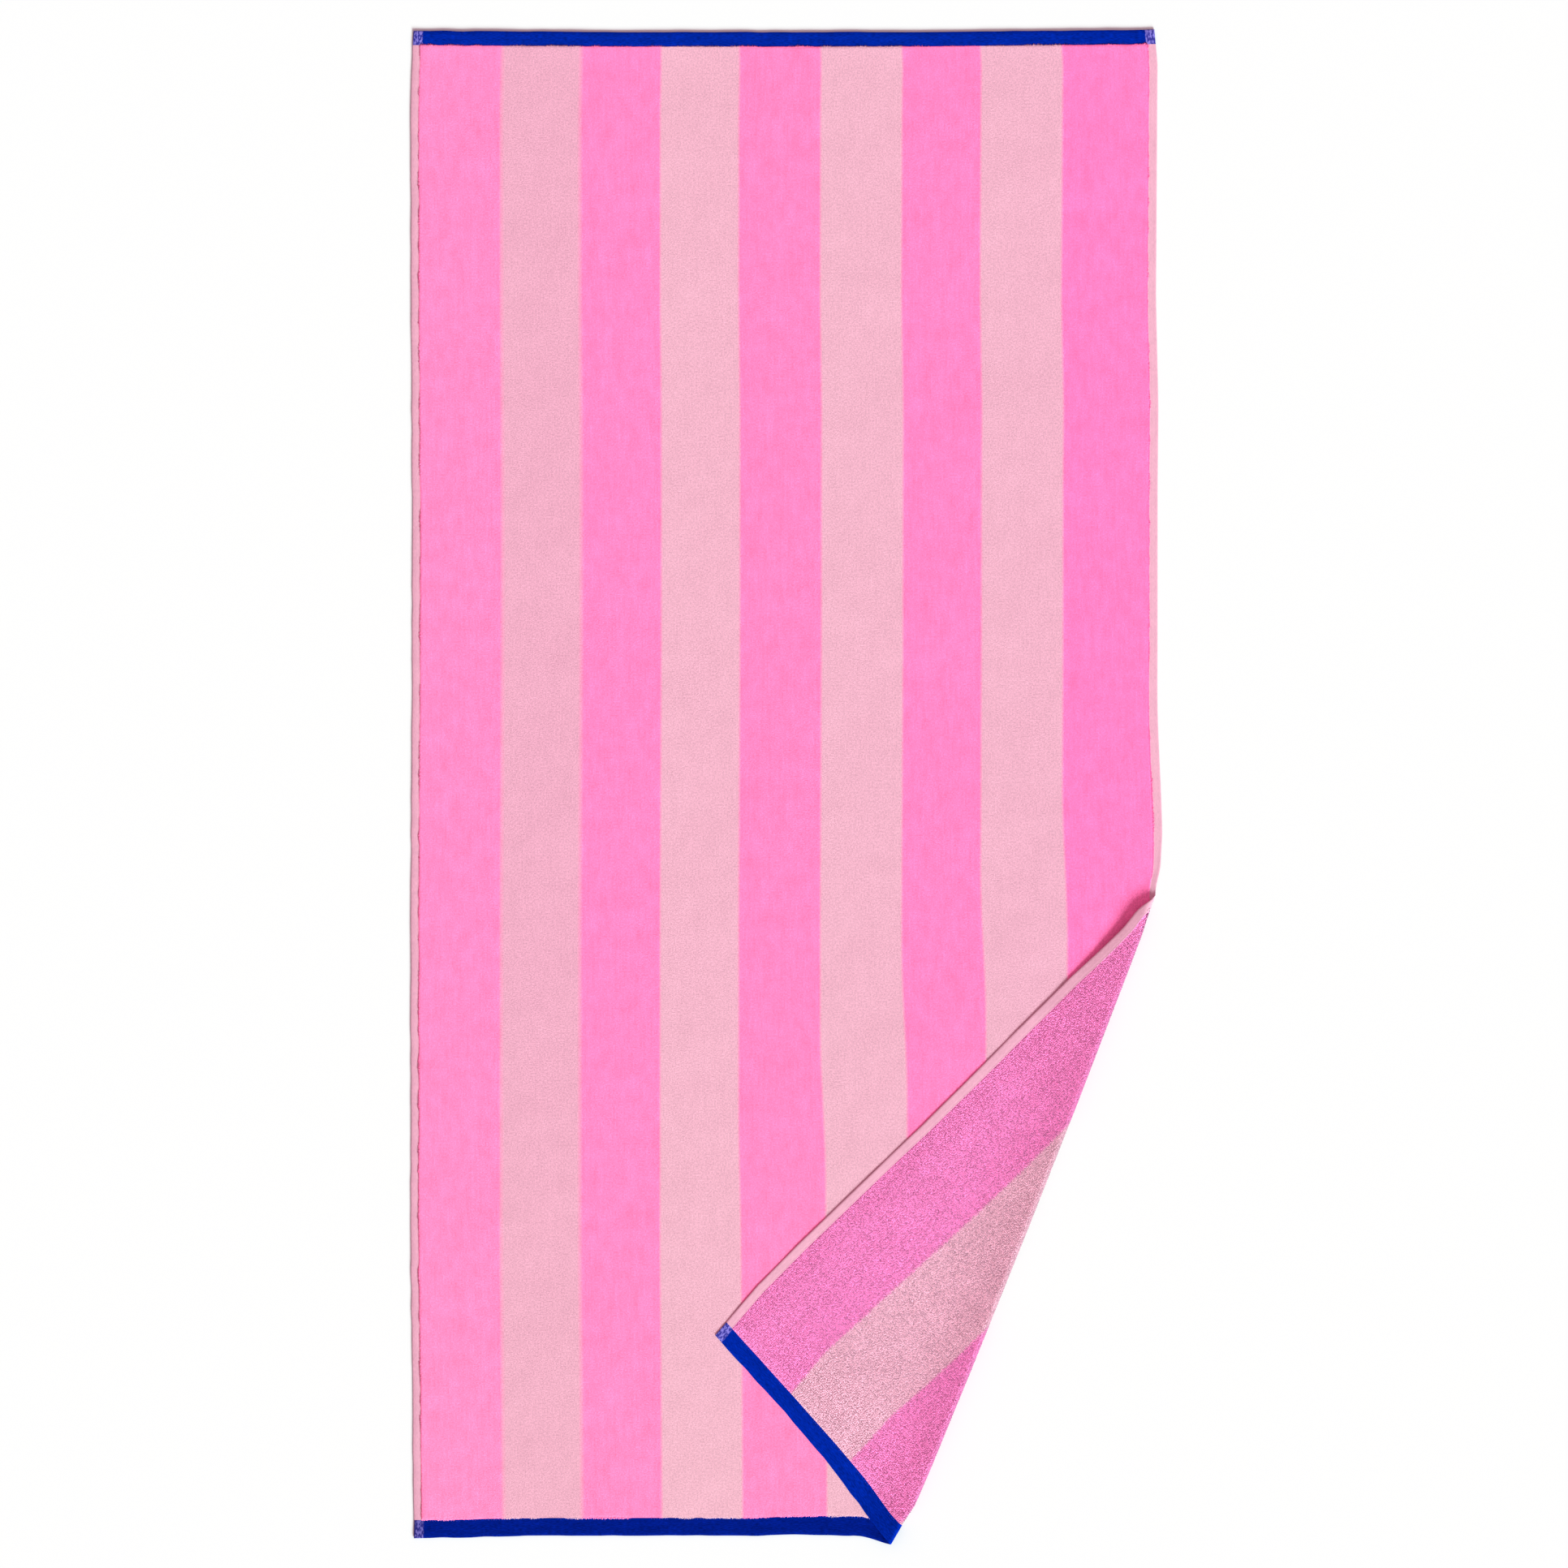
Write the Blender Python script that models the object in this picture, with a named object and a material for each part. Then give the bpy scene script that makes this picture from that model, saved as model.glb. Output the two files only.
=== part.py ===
"""A striped beach towel that lies on its looped back, with one corner turned over to the front.

The towel is one piece of cloth, hems included. It is built the way it is laid out: a flat blank
in the cloth's own coordinates, laid down with the small pulls and drifts of a towel spread by
hand, and then rolled over a slanted crease. Metres, +Z up, +X across the towel and +Y along it,
with the origin on the surface that the towel lies on.
"""

import math

import bmesh
import bpy
import numpy as np
from mathutils import Vector

# The cloth, as it was woven and hemmed.
TOWEL_LENGTH = 1.800
STRIPE_WIDTHS = (0.1095, 0.0941, 0.0941, 0.0960, 0.0961, 0.0960, 0.0970, 0.0951, 0.1121)
TOWEL_WIDTH = sum(STRIPE_WIDTHS)
PILE_THICKNESS = 0.0030
HEM_THICKNESS = 0.0019
SIDE_HEM_WIDTH = 0.0100
END_HEM_WIDTH = 0.0190
HEM_SLOPE_WIDTH = 0.0016
ALONG_PANELS = 22

# Where the flat blank lies: its lower left corner.
BLANK_LEFT = -0.4480
BLANK_BOTTOM = -0.8965

# How far the edges stray from straight: to the right on the sides, upwards on the ends.
SIDE_DRIFT_COLUMNS = ("along", "left", "right")
SIDE_DRIFT = (
    (0.000, 0.0026, 0.0000),
    (0.090, 0.0018, 0.0000),
    (0.210, 0.0008, 0.0000),
    (0.330, -0.0010, 0.0000),
    (0.740, -0.0009, 0.0000),
    (0.900, 0.0000, 0.0006),
    (1.060, 0.0008, 0.0012),
    (1.250, 0.0008, 0.0013),
    (1.350, 0.0001, 0.0022),
    (1.480, -0.0005, -0.0006),
    (1.700, -0.0011, 0.0008),
    (1.760, 0.0004, 0.0012),
    (1.800, 0.0018, -0.0026),
)
END_DRIFT_COLUMNS = ("across", "bottom", "top")
END_DRIFT = (
    (0.000, -0.0016, 0.0006),
    (0.060, -0.0009, -0.0003),
    (0.120, 0.0008, -0.0004),
    (0.220, 0.0012, -0.0013),
    (0.400, 0.0012, -0.0014),
    (0.450, 0.0024, -0.0013),
    (0.520, 0.0012, -0.0011),
    (0.620, 0.0000, -0.0012),
    (0.890, 0.0000, 0.0016),
)

# The crease seen from above: a line that leans from the right edge down to the lower hem.
CREASE_LEAN = math.atan(0.3988)
CREASE_OFFSET = 0.4623
CREASE_DOWN = Vector((-math.sin(CREASE_LEAN), -math.cos(CREASE_LEAN)))
CREASE_OUT = Vector((math.cos(CREASE_LEAN), -math.sin(CREASE_LEAN)))

# Down the crease: the middle radius of its roll, and how far its outline is drawn in.
CREASE_COLUMNS = ("down", "radius", "drawn_in")
CREASE_SHAPE = (
    (-0.075, 0.0074, 0.0050),
    (-0.024, 0.0074, 0.0044),
    (0.007, 0.0072, 0.0022),
    (0.058, 0.0070, 0.0014),
    (0.220, 0.0070, -0.0006),
    (0.378, 0.0070, -0.0013),
    (0.560, 0.0064, -0.0008),
    (0.700, 0.0052, 0.0006),
    (0.740, 0.0046, 0.0018),
    (0.771, 0.0040, 0.0080),
    (0.794, 0.0034, 0.0113),
)
LANDING_SLOPE = math.radians(16)
LAYER_GAP = 0.0005

# Turning the corner over dragged the cloth beside it to the right.
DRAG = 0.0065
DRAG_EDGE = Vector((0.4336, -0.1377))
DRAG_UPWARD = Vector((-0.708, 0.706))
DRAG_NEAR = 0.040
DRAG_FAR = 0.175
DRAG_LEFT_END = -0.150
DRAG_FULL = 0.050

# The lower hem is pulled down where the crease crosses it.
TIP_ACROSS = 0.571
TIP_PULL = 0.0098
TIP_PULL_LEFT = 0.050
TIP_PULL_RIGHT = 0.200
TIP_PULL_UP = 0.250

# The turned corner was pulled out: longer away from the crease, and skewed up along it.
FLAP_EASE = 0.0185
FLAP_EASE_REACH = 0.182
FLAP_SKEW = -0.098

# The turned side hem waves: how far it stands out past its straight line, fading into the pile.
FLAP_WAVE_COLUMNS = ("along", "further")
FLAP_WAVE = (
    (0.000, -0.0048),
    (0.045, -0.0012),
    (0.080, 0.0022),
    (0.150, 0.0025),
    (0.220, 0.0008),
    (0.300, -0.0016),
    (0.360, -0.0040),
    (0.430, -0.0036),
    (0.520, -0.0018),
    (0.620, -0.0002),
    (0.740, -0.0028),
)
FLAP_WAVE_WIDTH = 0.100
FLAP_WAVE_START = 0.060

# Where the cloth is cut so that it can bend: facets of the roll and of the slope down from it,
# lengths past the start of the roll, places down the crease, and lines beside the pulled tip.
ROLL_FACETS = 12
LANDING_FACETS = 6
FLAP_CUTS = (0.135, 0.180, 0.240)
CROSS_CUTS = (0.00, 0.05, 0.12, 0.21, 0.31, 0.41, 0.51, 0.60, 0.68, 0.73, 0.77)
TIP_CUTS = 4
CUT_TOLERANCE = 1e-6

# The finish: base colour and roughness of each cloth, and the bend that shades as an edge.
HOT_PINK = ((0.95, 0.17, 0.52, 1.0), 0.95)
PALE_PINK = ((0.93, 0.47, 0.61, 1.0), 0.95)
HEM_BLUE = ((0.01, 0.02, 0.34, 1.0), 0.75)
SHARP_ANGLE = math.radians(40)


def smooth_step(value):
    """0 below 0 and 1 above 1, with a soft start and end."""
    value = min(max(value, 0.0), 1.0)
    return value * value * (3.0 - 2.0 * value)


def read(table, columns, name, at):
    """A named column's value at a place that is given in the table's first column."""
    rows = np.array(table)
    return float(np.interp(at, rows[:, 0], rows[:, columns.index(name)]))


def hem_share(across, along):
    """1 on a hem, 0 on the pile, and between them on the slope that joins the two."""
    from_side = min(across, TOWEL_WIDTH - across) - SIDE_HEM_WIDTH
    from_end = min(along, TOWEL_LENGTH - along) - END_HEM_WIDTH
    share = 1.0 - min(from_side, from_end) / HEM_SLOPE_WIDTH
    return min(max(share, 0.0), 1.0)


def edge_drift(across, along):
    """How far the uneven edges carry a point of the cloth, to the right and upwards."""
    left = read(SIDE_DRIFT, SIDE_DRIFT_COLUMNS, "left", along)
    right = read(SIDE_DRIFT, SIDE_DRIFT_COLUMNS, "right", along)
    bottom = read(END_DRIFT, END_DRIFT_COLUMNS, "bottom", across)
    top = read(END_DRIFT, END_DRIFT_COLUMNS, "top", across)
    rightward = left + (right - left) * across / TOWEL_WIDTH
    upward = bottom + (top - bottom) * along / TOWEL_LENGTH
    return Vector((rightward, upward))


def fold_drag(place):
    """The rightward drag beside the turned corner, strongest next to its edge."""
    above = (place - DRAG_EDGE).dot(DRAG_UPWARD)
    nearness = smooth_step((DRAG_FAR - above) / (DRAG_FAR - DRAG_NEAR))
    share = smooth_step((place.x - DRAG_LEFT_END) / (DRAG_FULL - DRAG_LEFT_END))
    return Vector((DRAG * nearness * share, 0.0))


def tip_pull(across, along):
    """The downward pull on the lower hem at the foot of the crease."""
    reach = TIP_PULL_LEFT if across < TIP_ACROSS else TIP_PULL_RIGHT
    sideways = smooth_step(1.0 - abs(across - TIP_ACROSS) / reach)
    upwards = smooth_step(1.0 - along / TIP_PULL_UP)
    return Vector((0.0, -TIP_PULL * sideways * upwards))


def laid_down(across, along):
    """Where a point of the cloth lies on the surface before the corner is turned over."""
    place = Vector((BLANK_LEFT + across, BLANK_BOTTOM + along))
    return place + edge_drift(across, along) + fold_drag(place) + tip_pull(across, along)


def roll_radius(down):
    """The middle radius of the roll at a place down the crease."""
    return read(CREASE_SHAPE, CREASE_COLUMNS, "radius", down)


def roll_start(down):
    """How far out the cloth leaves the surface at a place down the crease."""
    drawn_in = read(CREASE_SHAPE, CREASE_COLUMNS, "drawn_in", down)
    return CREASE_OFFSET - drawn_in - roll_radius(down) - PILE_THICKNESS / 2


def flap_wave(across, along, past):
    """How much further from the crease the waving side hem of the turned corner lies."""
    further = read(FLAP_WAVE, FLAP_WAVE_COLUMNS, "further", along)
    near_hem = smooth_step(1.0 - (TOWEL_WIDTH - across) / FLAP_WAVE_WIDTH)
    return further * near_hem * smooth_step(past / FLAP_WAVE_START)


def along_crease(across, along):
    """A point of the cloth as (down the crease, past the start of the roll), pulled out there."""
    place = laid_down(across, along)
    down = place.dot(CREASE_DOWN)
    past = place.dot(CREASE_OUT) - roll_start(down)
    if past > 0.0:
        past += FLAP_EASE * smooth_step(past / FLAP_EASE_REACH) + flap_wave(across, along, past)
        down += FLAP_SKEW * max(past - math.pi * roll_radius(down) / 2, 0.0)
    return down, past


def landed_height():
    """The height of the turned layer's middle where it lies on the lower layer."""
    return 1.5 * PILE_THICKNESS + LAYER_GAP


def landing_length(radius):
    """The length over which the turned layer slopes down to the lower one."""
    top = PILE_THICKNESS / 2 + radius * (1 + math.cos(LANDING_SLOPE))
    return 2 * (top - landed_height()) / LANDING_SLOPE


def fold_section(past, radius):
    """The fold's middle line as (out, up, heading) at a length past the start of the roll."""
    roll_length = (math.pi + LANDING_SLOPE) * radius
    if past <= 0.0:
        return past, PILE_THICKNESS / 2, 0.0
    if past <= roll_length:
        heading = past / radius
        up = PILE_THICKNESS / 2 + radius * (1 - math.cos(heading))
        return radius * math.sin(heading), up, heading
    landing = landing_length(radius)
    run = past - roll_length
    left_over = max(1.0 - run / landing, 0.0)
    out = -radius * math.sin(LANDING_SLOPE) - run
    up = landed_height() + landing * LANDING_SLOPE * left_over**2 / 2
    return out, up, math.pi + LANDING_SLOPE * left_over


def folded(down, past, through, hem):
    """A point of the cloth in its final place: through is its height above the looped back."""
    radius = roll_radius(down)
    out, up, heading = fold_section(past, radius)
    # A turned hem is thinner than the pile beside it, and settles on the layer below.
    settled = (PILE_THICKNESS - HEM_THICKNESS) * hem * smooth_step(past / (math.pi * radius))
    above_middle = through + settled - PILE_THICKNESS / 2
    out += roll_start(down) - above_middle * math.sin(heading)
    up += above_middle * math.cos(heading)
    place = CREASE_DOWN * down + CREASE_OUT * out
    return Vector((place.x, place.y, up))


def across_lines():
    """The blank's lines from side to side: hems, stripe edges and the pulled tip."""
    hem = (0.0, SIDE_HEM_WIDTH, SIDE_HEM_WIDTH + HEM_SLOPE_WIDTH)
    stripes = tuple(np.cumsum(STRIPE_WIDTHS)[:-1])
    tip = tuple(np.linspace(TIP_ACROSS - TIP_PULL_LEFT, TIP_ACROSS, TIP_CUTS))
    wave = (TOWEL_WIDTH - FLAP_WAVE_WIDTH / 2,)
    return tuple(sorted(hem + stripes + tip + wave + tuple(TOWEL_WIDTH - line for line in hem)))


def along_lines():
    """The blank's lines from end to end: hems and even panels."""
    hem = (0.0, END_HEM_WIDTH)
    first = END_HEM_WIDTH + HEM_SLOPE_WIDTH
    panels = tuple(np.linspace(first, TOWEL_LENGTH - first, ALONG_PANELS + 1))
    return hem + panels + tuple(TOWEL_LENGTH - line for line in reversed(hem))


def stripe_material(across, along):
    """Which material slot a face belongs to: 0 hot pink, 1 pale pink, 2 blue."""
    if min(along, TOWEL_LENGTH - along) < END_HEM_WIDTH:
        return 2
    if min(across, TOWEL_WIDTH - across) < SIDE_HEM_WIDTH:
        return 1
    return int(np.searchsorted(np.cumsum(STRIPE_WIDTHS), across)) % 2


def add_point(blank, hem_layer, across, along, front):
    """A corner of the blank on its front or its back, placed along the crease."""
    hem = hem_share(across, along)
    thickness = PILE_THICKNESS + (HEM_THICKNESS - PILE_THICKNESS) * hem
    down, past = along_crease(across, along)
    point = blank.verts.new((down, past, thickness if front else 0.0))
    point[hem_layer] = hem
    return point


def flat_blank():
    """The cloth as a closed slab, laid down but not yet turned over, in crease coordinates."""
    blank = bmesh.new()
    hem_layer = blank.verts.layers.float.new("hem")
    across, along = across_lines(), along_lines()
    sheets = []
    for front in (True, False):
        sheets.append([[add_point(blank, hem_layer, u, v, front) for v in along] for u in across])
    top, under = sheets
    columns, rows = len(across) - 1, len(along) - 1
    for i in range(columns):
        for j in range(rows):
            middle = ((across[i] + across[i + 1]) / 2, (along[j] + along[j + 1]) / 2)
            for sheet, flip in ((top, False), (under, True)):
                ring = [sheet[i][j], sheet[i + 1][j], sheet[i + 1][j + 1], sheet[i][j + 1]]
                face = blank.faces.new(ring[::-1] if flip else ring)
                face.material_index = stripe_material(*middle)
    rim = [(i, 0) for i in range(columns)] + [(columns, j) for j in range(rows)]
    rim += [(i, rows) for i in range(columns, 0, -1)] + [(0, j) for j in range(rows, 0, -1)]
    for (i, j), (k, m) in zip(rim, rim[1:] + rim[:1]):
        edge_face = blank.faces.new((top[i][j], under[i][j], under[k][m], top[k][m]))
        edge_face.material_index = 2 if j == m and j in (0, rows) else 1
    return blank, hem_layer


def cut(blank, geometry, place, normal):
    """Cuts the given faces of the blank along a plane, and keeps both sides."""
    bmesh.ops.bisect_plane(
        blank, geom=geometry, dist=CUT_TOLERANCE, plane_co=place, plane_no=normal
    )


def roll_cuts():
    """The lengths past the start of the roll at which the turned part bends or may bend."""
    radius = max(row[CREASE_COLUMNS.index("radius")] for row in CREASE_SHAPE)
    roll_length = (math.pi + LANDING_SLOPE) * radius
    landed = roll_length + landing_length(radius)
    roll = np.linspace(0.0, roll_length, ROLL_FACETS + 1)
    landing = np.linspace(roll_length, landed, LANDING_FACETS + 1)[1:]
    return tuple(roll) + tuple(landing) + FLAP_CUTS


def facet_turned_part(blank):
    """Cuts the part past the crease along and across it, so that it can bend."""
    for past in roll_cuts():
        everything = blank.verts[:] + blank.edges[:] + blank.faces[:]
        cut(blank, everything, (0.0, past, 0.0), (0.0, 1.0, 0.0))
    for down in CROSS_CUTS:
        faces = [face for face in blank.faces if face.calc_center_median().y > 0.0]
        edges = {edge for face in faces for edge in face.edges}
        points = {point for face in faces for point in face.verts}
        cut(blank, list(points) + list(edges) + faces, (down, 0.0, 0.0), (1.0, 0.0, 0.0))


def turn_over(blank, hem_layer):
    """Bends the blank over the crease, into the towel's final shape."""
    for point in blank.verts:
        down, past, through = point.co
        point.co = folded(down, past, through, point[hem_layer])


def fabric(name, look):
    """A matt cloth material."""
    colour, roughness = look
    material = bpy.data.materials.new(name)
    material.use_nodes = True
    shader = material.node_tree.nodes["Principled BSDF"]
    shader.inputs["Base Color"].default_value = colour
    shader.inputs["Roughness"].default_value = roughness
    shader.inputs["Metallic"].default_value = 0.0
    return material


def make_towel():
    """The towel as one object with three colours of cloth."""
    blank, hem_layer = flat_blank()
    facet_turned_part(blank)
    turn_over(blank, hem_layer)
    bmesh.ops.triangulate(blank, faces=blank.faces[:])
    mesh = bpy.data.meshes.new("towel")
    blank.to_mesh(mesh)
    blank.free()
    for name, look in (("hot_pink", HOT_PINK), ("pale_pink", PALE_PINK), ("hem_blue", HEM_BLUE)):
        mesh.materials.append(fabric(name, look))
    mesh.shade_smooth()
    mesh.set_sharp_from_angle(angle=SHARP_ANGLE)
    towel = bpy.data.objects.new("towel", mesh)
    bpy.context.scene.collection.objects.link(towel)
    return towel


def clear_scene():
    """Removes whatever the scene holds at the start."""
    for thing in list(bpy.data.objects):
        bpy.data.objects.remove(thing, do_unlink=True)


clear_scene()
make_towel()
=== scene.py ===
"""The looks of a striped beach towel with one corner turned over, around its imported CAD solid.

The cloth lies in the solid's shape. Its stripes, its hems and the line of its turned-over edge
follow the photo a few millimetres more closely than the solid does. Every point has a place in
the cloth's coordinates, across (u) and along (v) in metres from the lower left corner, and a
height through it from the looped back. Stripes, pile, loops, hems and stitches follow them.
"""

import math

import bpy
import numpy as np
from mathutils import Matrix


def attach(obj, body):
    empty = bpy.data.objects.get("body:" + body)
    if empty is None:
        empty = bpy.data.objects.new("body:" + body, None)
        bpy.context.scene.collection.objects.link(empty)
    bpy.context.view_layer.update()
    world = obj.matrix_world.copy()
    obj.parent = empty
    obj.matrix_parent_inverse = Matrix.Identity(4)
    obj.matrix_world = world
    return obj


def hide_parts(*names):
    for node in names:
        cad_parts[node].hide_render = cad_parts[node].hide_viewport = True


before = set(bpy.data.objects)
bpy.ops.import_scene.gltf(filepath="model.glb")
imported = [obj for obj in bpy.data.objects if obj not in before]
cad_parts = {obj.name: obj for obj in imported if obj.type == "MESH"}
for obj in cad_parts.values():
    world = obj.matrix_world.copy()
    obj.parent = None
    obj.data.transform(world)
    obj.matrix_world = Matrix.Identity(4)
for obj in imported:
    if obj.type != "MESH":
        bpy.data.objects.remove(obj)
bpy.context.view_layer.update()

# ---- The cloth's sizes, in metres -------------------------------------------------------------

LENGTH = 1.800
# how wide each stripe is, from the left
STRIPES = (0.1076, 0.0941, 0.0950, 0.0940, 0.0983, 0.0956, 0.0960, 0.0957, 0.1137)
WIDTH = sum(STRIPES)
# how thick the cloth is over its pile and at its hems, and how wide the slope between them is
PILE, HEM, HEM_SLOPE = 0.0030, 0.0019, 0.0016
# the left and the right hem, the lower and the upper hem
SIDE_HEMS = 0.0091, 0.0101
END_HEMS = 0.0216, 0.0174

# ---- How the cloth lies, before its corner is turned over -------------------------------------

# where the lower left corner would lie, if every edge were straight
LEFT, BOTTOM = -0.4480, -0.8965
# along: how far to the right the left edge and the right edge lie
SIDE_DRIFT = (
    (0.000, 0.0026, 0.0000),
    (0.090, 0.0018, 0.0000),
    (0.210, 0.0008, 0.0000),
    (0.330, -0.0010, 0.0000),
    (0.740, -0.0009, 0.0000),
    (0.900, 0.0000, 0.0006),
    (1.060, 0.0008, 0.0012),
    (1.250, 0.0008, 0.0013),
    (1.350, 0.0001, 0.0022),
    (1.480, -0.0005, -0.0006),
    (1.700, -0.0011, 0.0008),
    (1.760, 0.0004, 0.0012),
    (1.800, 0.0018, -0.0026),
)
# across: how far up the bottom edge and the top edge lie
END_DRIFT = (
    (0.000, -0.0016, 0.0006),
    (0.060, -0.0009, -0.0003),
    (0.120, 0.0008, -0.0004),
    (0.220, 0.0012, -0.0013),
    (0.400, 0.0012, -0.0014),
    (0.450, 0.0024, -0.0013),
    (0.520, 0.0012, -0.0011),
    (0.620, 0.0000, -0.0012),
    (0.890, 0.0000, 0.0016),
)
# The cloth is dragged to the right beside the turned-over edge: how far, and how near to that
# edge it is so in full and not at all. The edge is given by a place on it and the way up from it.
DRAG, DRAG_NEAR, DRAG_FAR = 0.0065, 0.040, 0.175
DRAG_EDGE = np.array((0.4336, -0.1377))
DRAG_UPWARD = np.array((-0.708, 0.706))
# from left to right, where the drag starts and where it is full
DRAG_LEFT_END, DRAG_FULL = -0.150, 0.050
# The lower end is pulled down to a tip: its place across, how far down, and how far up the cloth,
# to the left and to the right the pull reaches.
TIP_ACROSS, TIP_PULL, TIP_UP = 0.571, 0.0098, 0.050
TIP_LEFT, TIP_RIGHT = 0.050, 0.200
# across: how much further down the lower hem's outer and inner edges are pulled, and how far
# up the cloth beyond the hem that reaches
END_PULL = (
    (0.420, 0.0000, 0.0000),
    (0.480, 0.0000, -0.0016),
    (0.540, 0.0000, -0.0022),
    (0.565, 0.0000, 0.0010),
    (0.600, 0.0000, 0.0042),
    (0.630, -0.0002, 0.0040),
    (0.664, 0.0004, 0.0028),
    (0.700, 0.0006, 0.0020),
    (0.770, 0.0010, 0.0018),
    (0.830, 0.0024, 0.0026),
    (0.865, 0.0034, 0.0034),
    (0.890, 0.0036, 0.0036),
)
END_PULL_UP = 0.100
# The right edge is drawn in where the fold starts: how far, how wide a strip, where along, and
# how far down and up from there.
NIP, NIP_WIDTH = 0.0056, 0.022
NIP_AT, NIP_DOWN, NIP_UP = 0.766, 0.036, 0.036
# how far the edges waver, and the size and seed of it on the left, the lower and the upper one
EDGE_WAVER, WAVERS = 0.00045, ((0.021, 11), (0.017, 12), (0.019, 13))
# how far the hems lift off what they lie on, over what width, and the size and seed of it
RUFFLE, RUFFLE_REACH, RUFFLE_SIZE = 0.0002, 0.030, (0.028, 14)

# ---- The fold ---------------------------------------------------------------------------------

# its line: how it leans, how far out it lies, and the ways down it and out over it
LEAN = math.atan(0.3988)
CREASE_AT = 0.4623
DOWN = np.array((-math.sin(LEAN), -math.cos(LEAN)))
OUT = np.array((math.cos(LEAN), -math.sin(LEAN)))
# down the crease: middle radius of the roll, how far its outline is drawn in
CREASE = (
    (-0.075, 0.0074, 0.0050),
    (-0.024, 0.0074, 0.0044),
    (0.007, 0.0072, 0.0022),
    (0.058, 0.0070, 0.0014),
    (0.220, 0.0070, -0.0006),
    (0.378, 0.0070, -0.0013),
    (0.560, 0.0064, -0.0008),
    (0.700, 0.0052, 0.0006),
    (0.740, 0.0046, 0.0018),
    (0.771, 0.0040, 0.0080),
    (0.794, 0.0034, 0.0113),
)
# down the crease: the fold's size against its full one, how steeply it slopes down to land
# and how steeply it rises
FOLD = (
    (-0.060, 0.46, 0.140, 0.16),
    (-0.045, 0.50, 0.141, 0.18),
    (-0.030, 0.66, 0.142, 0.30),
    (-0.015, 0.73, 0.143, 0.38),
    (0.000, 0.76, 0.145, 0.40),
    (0.060, 0.80, 0.155, 0.40),
    (0.120, 0.90, 0.170, 0.40),
    (0.220, 1.00, 0.200, 0.40),
    (0.560, 1.00, 0.210, 0.40),
    (0.700, 0.90, 0.210, 0.40),
    (0.750, 0.80, 0.210, 0.40),
    (0.800, 0.62, 0.200, 0.40),
)
# the length that lifts, the nose, the slope's straight length against that of the bend that
# lands it, and the gap between the two layers
LIFT_LENGTH, NOSE_RADIUS, STRAIGHT, LAYER_GAP = 0.036, 0.0036, 0.3, 0.0005
# how much longer the turned-over cloth lies than if it were flat, and over what reach, and how
# much it slants down the crease
EASE, EASE_REACH, SKEW = 0.0185, 0.182, -0.098
# along: how much further out the turned side hem waves
WAVE = (
    (0.000, -0.0038),
    (0.045, 0.0004),
    (0.080, 0.0038),
    (0.150, 0.0041),
    (0.220, 0.0024),
    (0.300, 0.0004),
    (0.360, -0.0016),
    (0.430, -0.0010),
    (0.520, 0.0016),
    (0.620, 0.0024),
    (0.740, -0.0028),
)
# how far from the side edge the waves reach, and over what length past the crease they set in
WAVE_WIDTH, WAVE_START = 0.100, 0.060
# past the crease: where the cloth begins to land on itself, and over what length it does
LANDS_FROM, LANDS_OVER = 0.020, 0.050
# how far the turned-over hem lies below the loops beside it, and how far those sink towards it
HEM_LOW, SAG, SAG_WIDTH = 0.0009, 0.0014, 0.024
# what is left between the landed pile and the pile under it, which press each other flat
PRESSED_GAP = 0.0001

# ---- The photo's frame: 1932 pixels a side, seen from straight above --------------------------

PIXELS = 1932
PIXEL = 0.000970
ORIGIN_PIXEL = 969.4
CAMERA_HEIGHT, SENSOR, CLIP = 7.0, 36.0, (0.1, 60.0)

# ---- The cloth's grid -------------------------------------------------------------------------

# from here across and up to here along, the cloth can be turned over
FLAP_FROM, FLAP_TO = 0.500, 0.870
# above the fold, the close columns ease back from the right edge to here
EASED_ALONG, EASED_ACROSS = (0.880, 1.150), (WIDTH, 0.620)
CROSSING_SAMPLES = 400
# steps above the fold and beside it, and on the hems
PLAIN_STEP, FLAP_STEP = 0.0110, 0.0070
PLAIN_HEM_STEP, FOLDED_HEM_STEP = 0.0040, 0.0012
# how many columns the plain part and the turned-over part have, and the least gap between two
PLAIN_LINES, FLAP_LINES, LINE_GAP = 72, 45, 0.0001
# from, to and step of the grid's columns, past the start of the fold
FOLD_STRETCHES = (
    (-0.032, 0.003, 0.0040),
    (0.004, 0.021, 0.0009),
    (0.022, 0.086, 0.0040),
)
# where the lines lie on the slope beside a hem, against its width
SLOPE_LINES = (0.0, 0.25, 0.55, 1.0, 1.9)
# the cloth's materials, by their place in its list
VELOUR, TERRY, SIDE, END = range(4)
# the bake map: its margin, the middle of the front's half, and how far the rim goes past it
BAKE_MARGIN, BAKE_MIDDLE, BAKE_RIM = 0.006, np.array((0.25, 0.5)), 1.4

# ---- Fine shapes ------------------------------------------------------------------------------

# how much thicker the hems are beside the pile, and over what width
HEM_SWELL, SWELL_WIDTH = 0.0006, 0.008
# the groove that the stitches lie in: how far outside the pile, half its width, its depth
STITCH_IN, STITCH_GROOVE, GROOVE_DEPTH = 0.0017, 0.0006, 0.00012
STITCH_PITCH, STITCH_LENGTH, STITCH_WIDTH = 0.0032, 0.0024, 0.0008
STITCH_SIDES, STITCH_SEED = 6, 41
# How high a stitch stands against its groove's depth, its shades over all, the painted shade at
# its foot, and what its width is divided by to give the most that it leans.
STITCH_HEIGHT, STITCH_SHADES, STITCH_FOOT_PAINTED_SHADE, STITCH_LEAN = 0.9, (0.92, 1.08), 0.92, 5
# the groove where the turned hem ends on the back, past the hem
TURN_AT, TURN_GROOVE, TURN_DEPTH = 0.0004, 0.0006, 0.00010
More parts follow.
